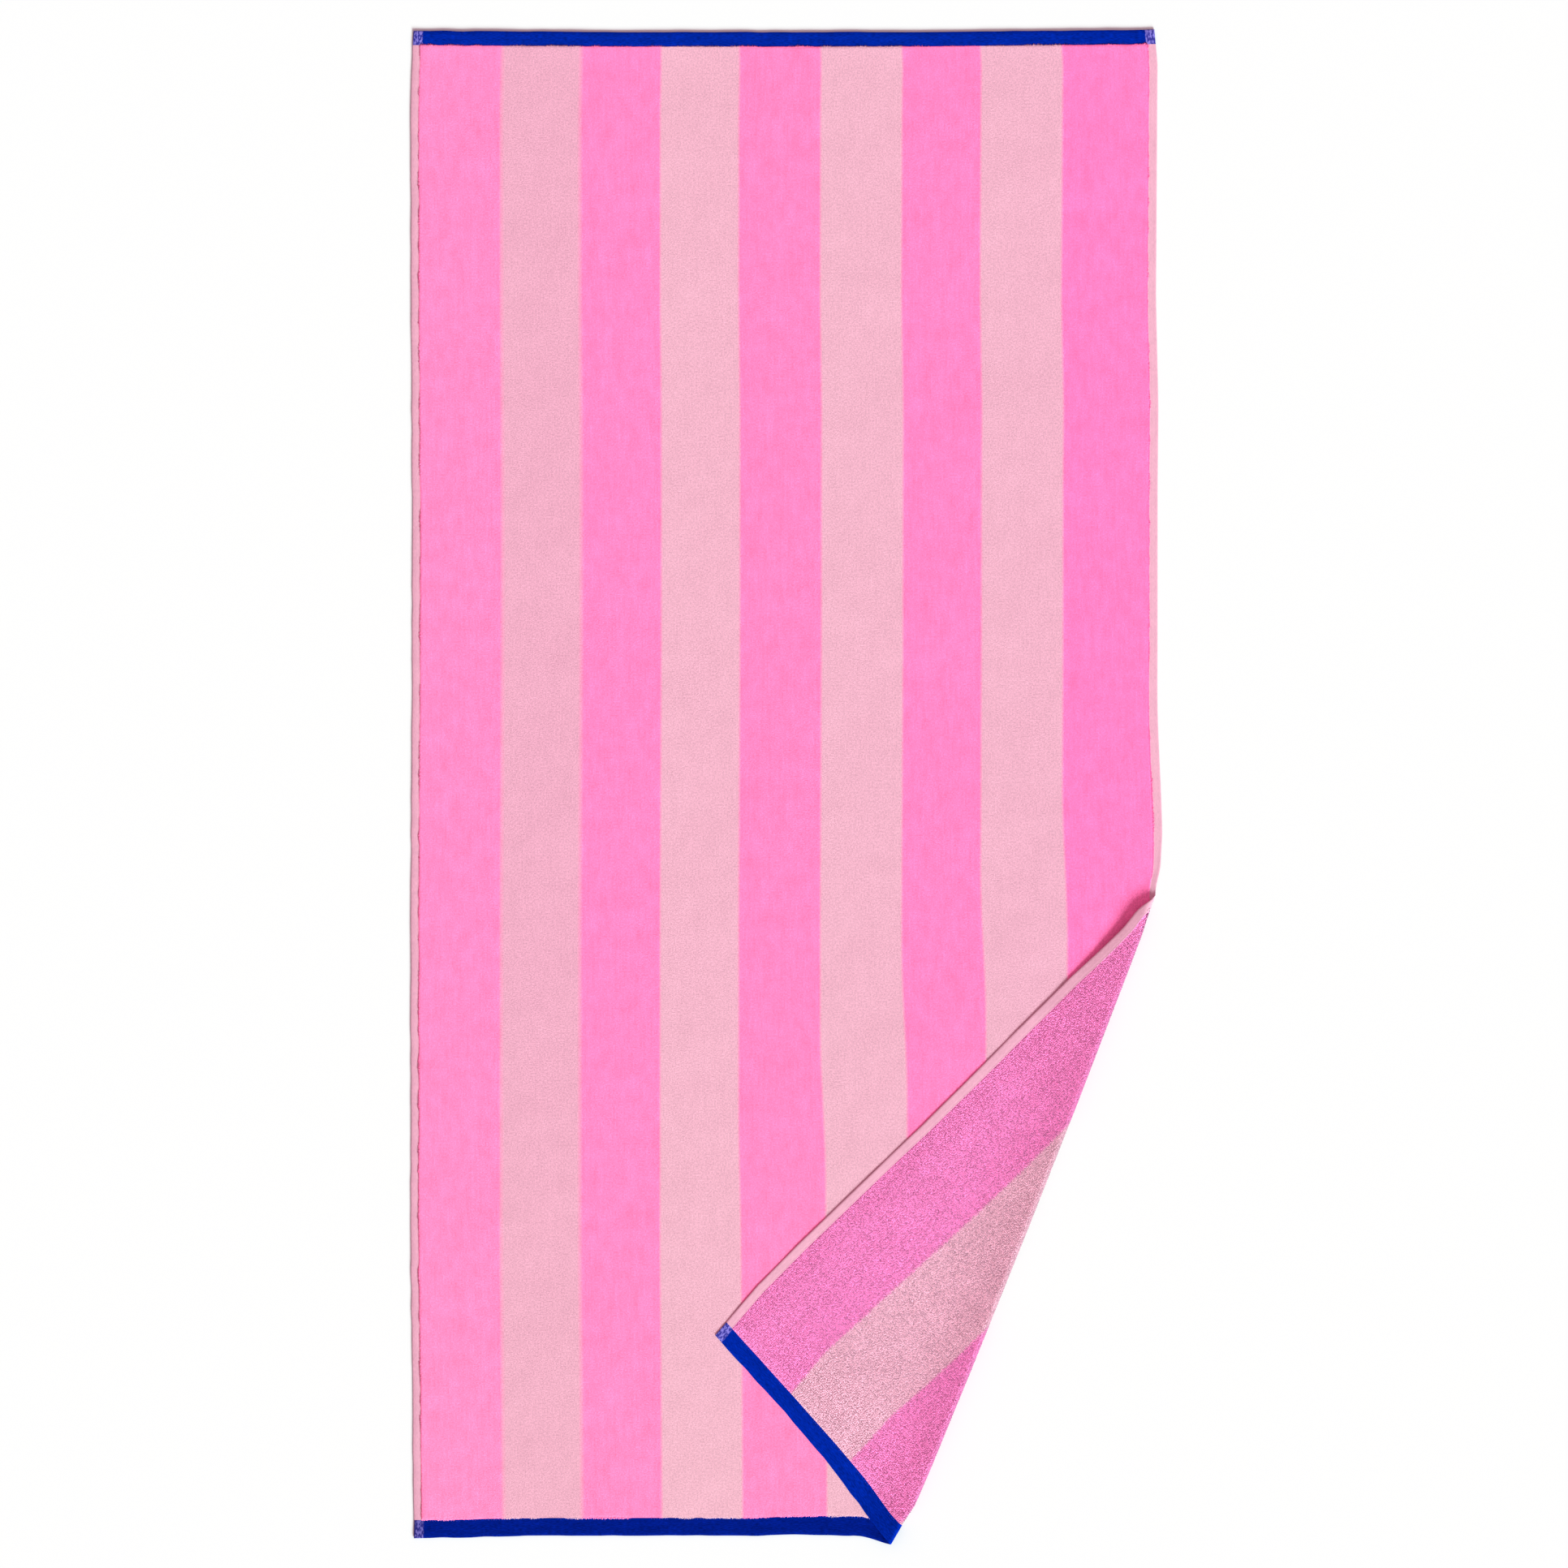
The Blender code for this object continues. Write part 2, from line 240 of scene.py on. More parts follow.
# how wide the edges' rounding is, and how much it takes off each face
EDGE_ROUND, EDGE_DROP = 0.0011, 0.0004
# height, then size and seed, of the unevenness of the hems and of the looped back
HEM_RIBS, HEM_RIB_SIZE = 0.00006, (0.013, 3)
LUMPS, LUMP_SIZE = 0.00008, (0.015, 4)
# size, height and seed of each layer of unevenness in the sheared pile
NAP = (
    (0.024, 0.00018, 1),
    (0.045, 0.00030, 2),
    (0.110, 0.00042, 5),
)
# the cloth that the loops stand on: how high, from where past the crease, and over what length
LOOP_GROUND, LOOPS_FROM, LOOPS_OVER = 0.0006, -0.018, 0.006
LOOP_SIDES, LOOP_SEED = 5, 21
# how far apart the loops are, their radii against that, and how fat and how high each one is
LOOP_ACROSS, LOOP_ALONG = 0.0019, 0.0021
LOOP_RADII, LOOP_FATNESS, LOOP_HEIGHTS = (0.52, 0.56), (0.85, 1.15), (0.75, 1.0)
# A space between loops divided by these is the most that one is off its place, leans, or strays
# into the next stripe, and the least that it keeps off the hems.
LOOP_OFF, LOOP_LEAN, LOOP_MIX, LOOP_INSIDE = 7, 4, 3, 4
# the light of each loop, each column and each row, and the contrast of the rose and of the pale
LOOP_DEPTHS, COLUMN_DEPTHS, ROW_DEPTHS = (0.52, 1.36), (0.90, 1.10), (0.92, 1.08)
LOOP_CONTRAST = 1.3, 1.05
# how much painted shade darkens the looped back and its loops around the fold's nose, by heading
# in radians
PAINTED_FOLD_SHADE, PAINTED_FOLD_SHADE_FROM, PAINTED_FOLD_SHADE_TO = 0.34, (0.9, 1.4), (2.5, 3.3)
# the tufts that lean over the hems: their rows, how far apart, and where they end at the crease
TUFT_ROWS, TUFT_PITCH, TUFTS_TO = 3, 0.0009, -0.002
TUFT_RADIUS, TUFT_HEIGHT, TUFT_REACH = 0.0006, 0.0006, 0.0014
# their sides and seed, and the size and seed of their clumps
TUFT_SIDES, TUFT_SEED, TUFT_CLUMPS = 4, 31, (0.011, 32)
# ranges of their places on the slope, their reaches, heights and shades
TUFT_PLACES, TUFT_REACHES = (0.1, 0.9), (0.3, 1.2)
TUFT_HEIGHTS, TUFT_SHADES = (0.3, 0.9), (0.96, 1.12)
# how far a cone's foot lies in the cloth, and the painted shade at its foot
SUNK, CONE_FOOT_PAINTED_SHADE = 0.00025, 0.66
# about a whole turn, in radians
ANY_TURN = 6.28
# the noise's lattice, and the place on it where the cloth starts
NOISE_CELLS, NOISE_START = 256, 3.0


def smooth_step(value):
    """0 below 0 and 1 above 1, with a soft start and end."""
    value = np.clip(value, 0.0, 1.0)
    return value * value * (3.0 - 2.0 * value)


def read(table, column, at):
    """A table's column at places given in its first column."""
    rows = np.array(table)
    return np.interp(at, rows[:, 0], rows[:, column])


def noise(u, v, size, seed):
    """Smooth noise from -1 to 1 over the cloth, with bumps of about this size."""
    lattice = np.random.RandomState(seed).uniform(-1.0, 1.0, (NOISE_CELLS + 1, NOISE_CELLS + 1))
    x, y = np.asarray(u) / size + NOISE_START, np.asarray(v) / size + NOISE_START
    i, j = np.floor(x).astype(int), np.floor(y).astype(int)
    fx, fy = smooth_step(x - i), smooth_step(y - j)
    i, j = i % NOISE_CELLS, j % NOISE_CELLS
    low = lattice[i, j] * (1 - fx) + lattice[i + 1, j] * fx
    high = lattice[i, j + 1] * (1 - fx) + lattice[i + 1, j + 1] * fx
    return low * (1 - fy) + high * fy


def laid_down(u, v):
    """Where points of the cloth lie on the surface before the corner is turned over."""
    x = LEFT + u + read(SIDE_DRIFT, 1, v) * (1 - u / WIDTH) + read(SIDE_DRIFT, 2, v) * u / WIDTH
    y = BOTTOM + v + read(END_DRIFT, 1, u) * (1 - v / LENGTH) + read(END_DRIFT, 2, u) * v / LENGTH
    flat = np.stack((LEFT + u, BOTTOM + v), -1)
    above = (flat - DRAG_EDGE) @ DRAG_UPWARD
    near = smooth_step((DRAG_FAR - above) / (DRAG_FAR - DRAG_NEAR))
    x = x + DRAG * near * smooth_step((flat[..., 0] - DRAG_LEFT_END) / (DRAG_FULL - DRAG_LEFT_END))
    nip = smooth_step(1 - abs(v - NIP_AT) / np.where(v < NIP_AT, NIP_DOWN, NIP_UP))
    x = x - NIP * nip * smooth_step(1 - (WIDTH - u) / NIP_WIDTH)
    reach = np.where(u < TIP_ACROSS, TIP_LEFT, TIP_RIGHT)
    y = y - TIP_PULL * smooth_step(1 - abs(u - TIP_ACROSS) / reach) * smooth_step(1 - v / TIP_UP)
    outer, inner = read(END_PULL, 1, u), read(END_PULL, 2, u)
    hem_pull = outer + (inner - outer) * np.clip(v / END_HEMS[0], 0, 1)
    y = y - hem_pull * smooth_step(1 - (v - END_HEMS[0]) / END_PULL_UP)
    side, low, high = WAVERS
    x = x + EDGE_WAVER * noise(v, 0.0, *side) * smooth_step(1 - abs(u) / RUFFLE_REACH)
    y = y + EDGE_WAVER * noise(u, 0.0, *low) * smooth_step(1 - v / RUFFLE_REACH)
    y = y + EDGE_WAVER * noise(u, 0.0, *high) * smooth_step(1 - (LENGTH - v) / RUFFLE_REACH)
    return np.stack((x, y), -1)


def roll_start(down):
    """How far out the cloth leaves the surface at places down the crease."""
    return CREASE_AT - read(CREASE, 2, down) - read(CREASE, 1, down) - PILE / 2


def along_crease(u, v):
    """Points of the cloth as down the crease and past the start of its roll."""
    place = laid_down(u, v)
    down = place @ DOWN
    past = place @ OUT - roll_start(down)
    wave = read(WAVE, 1, v) * smooth_step(1 - (WIDTH - u) / WAVE_WIDTH)
    pulled = EASE * smooth_step(past / EASE_REACH) + wave * smooth_step(past / WAVE_START)
    past = np.where(past > 0, past + pulled, past)
    skewed = SKEW * np.maximum(past - math.pi * read(CREASE, 1, down) / 2, 0)
    return np.where(past > 0, down + skewed, down), past


def fold_section(down, past, radius):
    """The fold's middle line as out, up and heading: it lifts, turns over its nose and lands."""
    size, slope, rise = [read(FOLD, column, down) for column in (1, 2, 3)]
    lift, nose = LIFT_LENGTH * size / rise, NOSE_RADIUS * size
    start = radius - lift * np.sin(rise) - nose * (1 - np.sin(rise))
    top = lift * (1 - np.cos(rise)) + nose * (np.cos(rise) + np.cos(slope))
    drop = PILE / 2 + top - (1.5 * PILE + LAYER_GAP)
    bend = drop / (STRAIGHT * np.sin(slope) + (1 - np.cos(slope)) / slope)
    lengths = (LIFT_LENGTH * size, nose * (math.pi + slope - rise), STRAIGHT * bend, bend)
    ends = np.cumsum(lengths, 0)
    nose_out = radius - nose * (1 + np.sin(slope))
    slope_out = nose_out - lengths[2] * np.cos(slope)
    # The lengths are drawn out a little, so that the landed cloth keeps its place.
    last = math.pi * radius - slope_out + bend / slope * np.sin(slope)
    run = (past - start) * ends[3] / (last - start)
    lifting = np.clip(run, 0, ends[0]) / lift
    turning = rise + np.clip(run - ends[0], 0, lengths[1]) / nose
    sloping = np.clip(run - ends[1], 0, lengths[2])
    landing = slope - np.clip(run - ends[2], 0, bend) / bend * slope
    out = start + lift * np.sin(lifting) + nose * (np.sin(turning) - np.sin(rise))
    out = out - sloping * np.cos(slope) - bend / slope * (np.sin(slope) - np.sin(landing))
    up = PILE / 2 + lift * (1 - np.cos(lifting)) + nose * (np.cos(rise) - np.cos(turning))
    up = up - sloping * np.sin(slope) - bend / slope * (np.cos(landing) - np.cos(slope))
    heading = np.where(run < ends[0], lifting, turning)
    heading = np.where(run > ends[2], math.pi + landing, heading)
    out = np.where(past > last, out - (past - last), out)
    return np.where(run < 0, past, out), up, heading


def placed(u, v, through):
    """Final places of points of the cloth: through is their height above the looped back."""
    down, past = along_crease(u, v)
    out, up, heading = fold_section(down, past, read(CREASE, 1, down))
    above = through + sunk(u, v) * landed(past) - PILE / 2
    out = out + roll_start(down) - above * np.sin(heading)
    flat = down[..., None] * DOWN + out[..., None] * OUT
    under = nap(flat[..., 0] - LEFT, flat[..., 1] - BOTTOM) * landed(past)
    up = up + above * np.cos(heading) + under + ruffle(u, v)
    return np.concatenate((flat, up[..., None]), -1)


def landed(past):
    """1 where the cloth lies turned over on itself, 0 up to the fold."""
    return smooth_step((past - LANDS_FROM) / LANDS_OVER)


def sunk(u, v):
    """How far the turned-over cloth lies below its middle part, at a hem and beside it."""
    return HEM_LOW * hem_share(u, v) + SAG * (1 - smooth_step(from_hem(u, v) / SAG_WIDTH))


def nap(u, v):
    """What the sheared pile's unevenness adds to its height."""
    return sum(height * noise(u, v, size, seed) for size, height, seed in NAP)


def ruffle(u, v):
    """How far the hems lift off what they lie on, for their stitching draws them in."""
    edge = np.minimum(np.minimum(u, WIDTH - u), np.minimum(v, LENGTH - v))
    return RUFFLE * (1 + noise(u, v, *RUFFLE_SIZE)) * smooth_step(1 - edge / RUFFLE_REACH)


def from_hem(u, v):
    """How far inside the side hems and the end hems points lie, whichever is less."""
    across = np.minimum(u - SIDE_HEMS[0], WIDTH - u - SIDE_HEMS[1])
    return np.minimum(across, np.minimum(v - END_HEMS[0], LENGTH - v - END_HEMS[1]))


def hem_share(u, v):
    """1 on a hem, 0 on the pile, and between them on the slope that joins the two."""
    return 1 - smooth_step(from_hem(u, v) / HEM_SLOPE)


# ---- Meshes -----------------------------------------------------------------------------------


def add_mesh(name, points, faces, materials, slots=None, cloth=None, shade=None, bake=None):
    """A piece from arrays: points, faces, cloth places, shade of each point, bake map places."""
    corners = faces.shape[1]
    mesh = bpy.data.meshes.new(name)
    mesh.vertices.add(len(points))
    mesh.vertices.foreach_set("co", np.asarray(points, np.float32).ravel())
    mesh.loops.add(faces.size)
    mesh.loops.foreach_set("vertex_index", np.asarray(faces, np.int32).ravel())
    mesh.polygons.add(len(faces))
    mesh.polygons.foreach_set("loop_start", np.arange(0, faces.size, corners, dtype=np.int32))
    for material in materials:
        mesh.materials.append(material)
    if slots is not None:
        mesh.polygons.foreach_set("material_index", np.asarray(slots, np.int32))
    if cloth is not None:
        layer = mesh.attributes.new("cloth", "FLOAT_VECTOR", "POINT")
        layer.data.foreach_set("vector", np.asarray(cloth, np.float32).ravel())
    if shade is not None:
        layer = mesh.attributes.new("shade", "FLOAT", "POINT")
        layer.data.foreach_set("value", np.asarray(shade, np.float32).ravel())
    if bake is not None:
        layer = mesh.uv_layers.new(name="OFBake")
        layer.data.foreach_set("uv", np.asarray(bake, np.float32).ravel())
    mesh.update(calc_edges=True)
    mesh.shade_smooth()
    piece = bpy.data.objects.new(name, mesh)
    bpy.context.scene.collection.objects.link(piece)
    return piece


def spaced(start, end, step):
    """Even places from start to end, both left out, about a step apart."""
    count = max(int(round((end - start) / step)), 1)
    return list(np.linspace(start, end, count + 1)[1:-1])


def edge_lines(hem, step):
    """Lines beside an edge: its rounding, the stitch groove, the hem's inner edge and the pile."""
    stitch = hem - STITCH_IN
    groove = [stitch - STITCH_GROOVE, stitch, stitch + STITCH_GROOVE]
    slope = [hem + HEM_SLOPE * share for share in SLOPE_LINES]
    return [0.0, EDGE_ROUND / 3, EDGE_ROUND] + spaced(EDGE_ROUND, groove[0], step) + groove + slope


def crease_crossing(along):
    """Where across the cloth its fold starts, at places along it, easing back above the fold."""
    across = np.linspace(0.0, WIDTH, CROSSING_SAMPLES)
    u, v = np.meshgrid(across, along, indexing="ij")
    starts = [np.interp(0.0, past, across, right=WIDTH) for past in along_crease(u, v)[1].T]
    return np.minimum(starts, np.interp(along, EASED_ALONG, EASED_ACROSS))


def grid_lines():
    """The cloth's grid, as places across and along: its columns are close where it folds."""
    left = edge_lines(SIDE_HEMS[0], PLAIN_HEM_STEP)
    right = edge_lines(SIDE_HEMS[1], FOLDED_HEM_STEP)
    low, high = [edge_lines(hem, PLAIN_HEM_STEP) for hem in END_HEMS]
    along = low + spaced(low[-1], FLAP_TO, FLAP_STEP) + [FLAP_TO]
    along += spaced(FLAP_TO, LENGTH - high[-1], PLAIN_STEP)
    along += [LENGTH - line for line in high[::-1]]
    fold = np.concatenate([np.arange(*stretch) for stretch in FOLD_STRETCHES])
    last = WIDTH - right[-1]
    limit = last - LINE_GAP * np.arange(FLAP_LINES + len(fold), FLAP_LINES, -1)
    columns = []
    for crossing in crease_crossing(along):
        folding = np.minimum(crossing + fold, limit)
        plain = np.linspace(left[-1], folding[0], PLAIN_LINES + 2)[1:-1]
        flap = np.linspace(folding[-1], last, FLAP_LINES + 2)[1:-1]
        columns.append(np.concatenate((left, plain, folding, flap, WIDTH - np.array(right[::-1]))))
    u = np.array(columns).T
    return u, np.broadcast_to(along, u.shape)


def surface(u, v, front):
    """The height through the cloth of its front or its back."""
    edge = np.minimum(np.minimum(u, WIDTH - u), np.minimum(v, LENGTH - v))
    hem = hem_share(u, v)
    inside = from_hem(u, v)
    rounding = (1 - smooth_step(edge / EDGE_ROUND)) * EDGE_DROP
    stitch = np.clip(1 - abs(inside + STITCH_IN) / STITCH_GROOVE, 0, 1) * GROOVE_DEPTH
    _, past = along_crease(u, v)
    if front:
        ribs = HEM_RIBS * noise(u, v, *HEM_RIB_SIZE)
        swell = HEM_SWELL * smooth_step(1 + inside / SWELL_WIDTH)
        swell = swell * smooth_step(-past / SWELL_WIDTH)
        thickness = PILE + (HEM + swell - PILE) * hem
        room = PILE + LAYER_GAP - PRESSED_GAP - sunk(u, v)
        thickness = thickness - np.maximum(thickness - room, 0) * landed(past)
        fluff = nap(u, v) * (1 - hem) * (1 - landed(past))
        return thickness + fluff + ribs * hem - rounding - stitch
    turned = np.clip(1 - abs(inside - TURN_AT) / TURN_GROOVE, 0, 1) * TURN_DEPTH
    ground = LOOP_GROUND * (1 - hem) * smooth_step((past - LOOPS_FROM) / LOOPS_OVER)
    lumps = LUMPS * (1 + noise(u, v, *LUMP_SIZE)) * (1 - hem)
    return rounding + stitch + turned + ground + lumps


def painted_fold_shade(u, v):
    """How light the looped back is painted: around the fold's nose it is darkened by painted
    shade.
    """
    down, past = along_crease(u, v)
    heading = fold_section(down, past, read(CREASE, 1, down))[2]
    rise = smooth_step((heading - PAINTED_FOLD_SHADE_FROM[0]) / (PAINTED_FOLD_SHADE_FROM[1] - PAINTED_FOLD_SHADE_FROM[0]))
    fall = smooth_step((heading - PAINTED_FOLD_SHADE_TO[0]) / (PAINTED_FOLD_SHADE_TO[1] - PAINTED_FOLD_SHADE_TO[0]))
    return 1 - PAINTED_FOLD_SHADE * rise * (1 - fall)


def bake_places(u, v, front):
    """The cloth on the bake map: its front on the left half and its back on the right half."""
    start = BAKE_MARGIN + (0.0 if front else 0.5)
    return np.stack((start + u / WIDTH * (0.5 - 2 * BAKE_MARGIN),
                     BAKE_MARGIN + v / LENGTH * (1 - 2 * BAKE_MARGIN)), -1)


def make_cloth(materials):
    """The towel's cloth as one closed mesh, front, back, hems and edges."""
    u, v = grid_lines()
    count = u.size
    points = [placed(u, v, surface(u, v, front)).reshape(-1, 3) for front in (True, False)]
    number = np.arange(count).reshape(u.shape)
    ring = np.stack((number[:-1, :-1], number[1:, :-1], number[1:, 1:], number[:-1, 1:]), -1)
    ring = ring.reshape(-1, 4)
    middle_u, middle_v = u.ravel()[ring].mean(1), v.ravel()[ring].mean(1)
    end = (middle_v < END_HEMS[0]) | (middle_v > LENGTH - END_HEMS[1])
    side = (middle_u < SIDE_HEMS[0]) | (middle_u > WIDTH - SIDE_HEMS[1])
    rim = np.concatenate((number[:-1, 0], number[-1, :-1], number[:0:-1, -1], number[0, :0:-1]))
    after = np.roll(rim, -1)
    sides = np.stack((rim, rim + count, after + count, after), -1)
    rim_v = (v.ravel()[rim] + v.ravel()[after]) / 2
    by_end = (rim_v < END_HEMS[0]) | (rim_v > LENGTH - END_HEMS[1])
    faces = np.concatenate((ring, ring[:, ::-1] + count, sides))
    slots = np.concatenate((
        np.where(end, END, np.where(side, SIDE, VELOUR)),
        np.where(end, END, np.where(side, SIDE, TERRY)),
        np.where(by_end, END, SIDE),
    ))
    flat = np.stack((u.ravel(), v.ravel()), -1)
    cloth = np.concatenate((np.c_[flat, np.ones(count)], np.c_[flat, np.zeros(count)]))
    shown, hidden = [bake_places(u, v, front).reshape(-1, 2) for front in (True, False)]
    outside = BAKE_MIDDLE + (shown - BAKE_MIDDLE) * (1 + BAKE_RIM * BAKE_MARGIN / BAKE_MIDDLE)
    edges = np.stack((shown[rim], outside[rim], outside[after], shown[after]), 1)
    bake = np.concatenate((shown[ring], hidden[ring[:, ::-1]], edges))
    # the back's points carry the painted shade of the fold's nose
    shade = np.concatenate((np.ones(count), painted_fold_shade(u, v).ravel()))
    points = np.concatenate(points)
    return add_mesh("towel_cloth", points, faces, materials, slots, cloth, shade, bake)


def add_cones(
    name, material, front, u, v, radius, height, lean, sides, turn, shade, foot=CONE_FOOT_PAINTED_SHADE
):
    """Small closed cones on the front or the back, one for each place, as one piece."""
    count = len(u)
    angle = turn[:, None] + np.arange(sides) * 2 * math.pi / sides
    all_u = np.c_[u[:, None] + radius[0] * np.cos(angle), u + lean[0]]
    all_v = np.c_[v[:, None] + radius[1] * np.sin(angle), v + lean[1]]
    outward = 1.0 if front else -1.0
    through = surface(all_u, all_v, front) - outward * SUNK
    through[:, -1] = surface(u, v, front) + outward * height
    ring = np.arange(sides)
    slopes = np.stack((ring, np.roll(ring, -1), np.full(sides, sides)), -1)
    base = np.stack((np.zeros(sides - 2, int), ring[2:], ring[1:-1]), -1)
    cone = np.concatenate((slopes, base))
    if not front:
        cone = cone[:, ::-1]
    faces = (cone + np.arange(count)[:, None, None] * (sides + 1)).reshape(-1, 3)
    cloth = np.repeat(np.stack((u, v, np.full(count, float(front))), -1), sides + 1, 0)
    # the ring at each cone's foot is darkened by painted shade, the tip is not
    shades = np.outer(shade, np.append(np.full(sides, foot), 1.0))
    points = placed(all_u, all_v, through).reshape(-1, 3)
    return add_mesh(name, points, faces, [material], cloth=cloth, shade=shades)


def make_loops(rose, pale):
    """The turned-over part's loops, in offset rows: one piece for each of their two colours."""
    random = np.random.RandomState(LOOP_SEED)
    across = np.arange(FLAP_FROM, WIDTH, LOOP_ACROSS)
    along = np.arange(END_HEMS[0], FLAP_TO, LOOP_ALONG)
    v, u = np.meshgrid(along, across, indexing="ij")
    depth = random.uniform(*LOOP_DEPTHS, u.shape) * random.uniform(*COLUMN_DEPTHS, len(across))
    depth = depth * random.uniform(*ROW_DEPTHS, (len(along), 1))
    u[1::2] += LOOP_ACROSS / 2
    u = u + random.uniform(-1, 1, u.shape) * LOOP_ACROSS / LOOP_OFF
    v = v + random.uniform(-1, 1, v.shape) * LOOP_ALONG / LOOP_OFF
    keep = (from_hem(u, v) > LOOP_ACROSS / LOOP_INSIDE) & (along_crease(u, v)[1] > LOOPS_FROM)
    # each loop's depth of colour takes the painted shade of the fold's nose
    u, v, depth = u[keep], v[keep], depth[keep] * painted_fold_shade(u[keep], v[keep])
    edges = np.cumsum(STRIPES)
    drawn = np.interp(v, (BACK_FROM, BACK_TO), BACK_DRAWN)
    strayed = u + drawn + random.uniform(-1, 1, len(u)) * LOOP_ACROSS / LOOP_MIX
    stripe = np.searchsorted(edges, strayed)
    pieces = []
    for name, material, odd in (("terry_loops_rose", rose, 0), ("terry_loops_pale", pale, 1)):
        mine = stripe % 2 == odd
        count = mine.sum()
        fat = random.uniform(*LOOP_FATNESS, (2, count, 1))
        lean = random.uniform(-1, 1, (2, count)) * LOOP_ACROSS / LOOP_LEAN
        pieces.append(add_cones(
            name, material, False, u[mine], v[mine],
            radius=(fat[0] * LOOP_ACROSS * LOOP_RADII[0], fat[1] * LOOP_ALONG * LOOP_RADII[1]),
            height=random.uniform(*LOOP_HEIGHTS, count) * surface(u[mine], v[mine], False),
            lean=lean, sides=LOOP_SIDES, turn=random.uniform(0, ANY_TURN, count),
            shade=depth[mine] ** LOOP_CONTRAST[odd],
        ))
    return pieces


def make_pile_edge(material):
    """Tufts of the sheared pile that lean over the hems, which makes their inner edges uneven."""
    random = np.random.RandomState(TUFT_SEED)
    places = []
    for _ in range(TUFT_ROWS):
        for far in (False, True):
            outward = 1.0 if far else -1.0
            v = np.arange(END_HEMS[0], LENGTH - END_HEMS[1], TUFT_PITCH)
            u = SIDE_HEMS[far] + random.uniform(*TUFT_PLACES, len(v)) * HEM_SLOPE
            places.append((WIDTH - u if far else u, v, np.full(len(v), outward), 0 * v))
            u = np.arange(SIDE_HEMS[0], WIDTH - SIDE_HEMS[1], TUFT_PITCH)
            v = END_HEMS[far] + random.uniform(*TUFT_PLACES, len(u)) * HEM_SLOPE
            places.append((u, LENGTH - v if far else v, 0 * u, np.full(len(u), outward)))
    u, v, out_u, out_v = np.concatenate(places, 1)
    flat = along_crease(u, v)[1] < TUFTS_TO
    u, v, out_u, out_v = u[flat], v[flat], out_u[flat], out_v[flat]
    count = len(u)
    reach = TUFT_REACH * random.uniform(*TUFT_REACHES, count) * (1 + noise(u, v, *TUFT_CLUMPS))
    spread = random.uniform(-1, 1, (2, count)) * TUFT_PITCH / 2
    return add_cones(
        "pile_edge", material, True, u + spread[0] * abs(out_v), v + spread[1] * abs(out_u),
        radius=(TUFT_RADIUS, TUFT_RADIUS),
        height=random.uniform(*TUFT_HEIGHTS, count) * TUFT_HEIGHT,
        lean=(out_u * reach, out_v * reach), sides=TUFT_SIDES,
        turn=random.uniform(0, ANY_TURN, count),
        shade=random.uniform(*TUFT_SHADES, count), foot=1.0,
    )


def make_stitches(name, material, front, lengthwise):
    """Lockstitches in the groove of the side hems or the end hems, on the front or the back."""
    if lengthwise:
        start, end = END_HEMS[0] + STITCH_PITCH, LENGTH - END_HEMS[1] - STITCH_PITCH
        line = np.arange(start, end, STITCH_PITCH)
        seams = (SIDE_HEMS[0] - STITCH_IN, WIDTH - SIDE_HEMS[1] + STITCH_IN)
        u, v = np.tile(seams, (len(line), 1)).T, line
        size = STITCH_WIDTH / 2, STITCH_LENGTH / 2
    else:
        line = np.arange(STITCH_PITCH, WIDTH - STITCH_PITCH, STITCH_PITCH)
        seams = (END_HEMS[0] - STITCH_IN, LENGTH - END_HEMS[1] + STITCH_IN)
        u, v = line, np.tile(seams, (len(line), 1)).T
        size = STITCH_LENGTH / 2, STITCH_WIDTH / 2
    u, v = [side.ravel() for side in np.broadcast_arrays(u, v)]
    random = np.random.RandomState(STITCH_SEED + 2 * front + lengthwise)
    return add_cones(
        name, material, front, u, v, radius=size,
        height=np.full(len(u), GROOVE_DEPTH * STITCH_HEIGHT),
        lean=random.uniform(-1, 1, (2, len(u))) * STITCH_WIDTH / STITCH_LEAN,
        sides=STITCH_SIDES, turn=0 * u,
        shade=random.uniform(*STITCH_SHADES, len(u)), foot=STITCH_FOOT_PAINTED_SHADE,
    )


# ---- Materials: colours in linear light, sizes in metres across and along ---------------------

# the sheared front's stripes from the left
FRONT = (
    (0.94, 0.195, 0.420),
    (0.635, 0.306, 0.408),
    (0.94, 0.184, 0.416),
    (0.648, 0.334, 0.424),
    (0.94, 0.184, 0.410),
    (0.645, 0.334, 0.424),
    (0.94, 0.180, 0.414),
    (0.645, 0.330, 0.424),
    (0.94, 0.168, 0.418),
)
# how the colours shift towards the lower end, and between which places along it sets in
LOWER_SHIFT, LOWER_SHIFT_FROM, LOWER_SHIFT_TO = (-0.045, 0.015, 0.0), 0.70, 0.10
# the looped back's two colours, then those of the end hems, their corner blocks and the side hems
LOOPED_ROSE, LOOPED_PALE = (0.90, 0.236, 0.542), (0.81, 0.425, 0.545)
BLUE, DEEP_BLUE = (0.0004, 0.0150, 0.270), (0.0006, 0.0086, 0.174)
PURPLE, LILAC = (0.034, 0.032, 0.250), (0.200, 0.170, 0.580)
SELVEDGE = (0.655, 0.328, 0.428)
# the stripes' borders: half their blur, how far they waver on the front and on the back
STRIPE_BLUR, FRONT_WAVER, BACK_WAVER = 0.0004, 0.0024, 0.0026
# A border on the front is drawn aside near the lower hem: its place, how far up and how far aside,
# and how near to it the cloth is drawn in full and not at all.
BEND_EDGE, BEND_UP, BEND_ASIDE = 0.5843, 0.100, 0.0190
BEND_NEAR, BEND_FAR = 0.022, 0.045
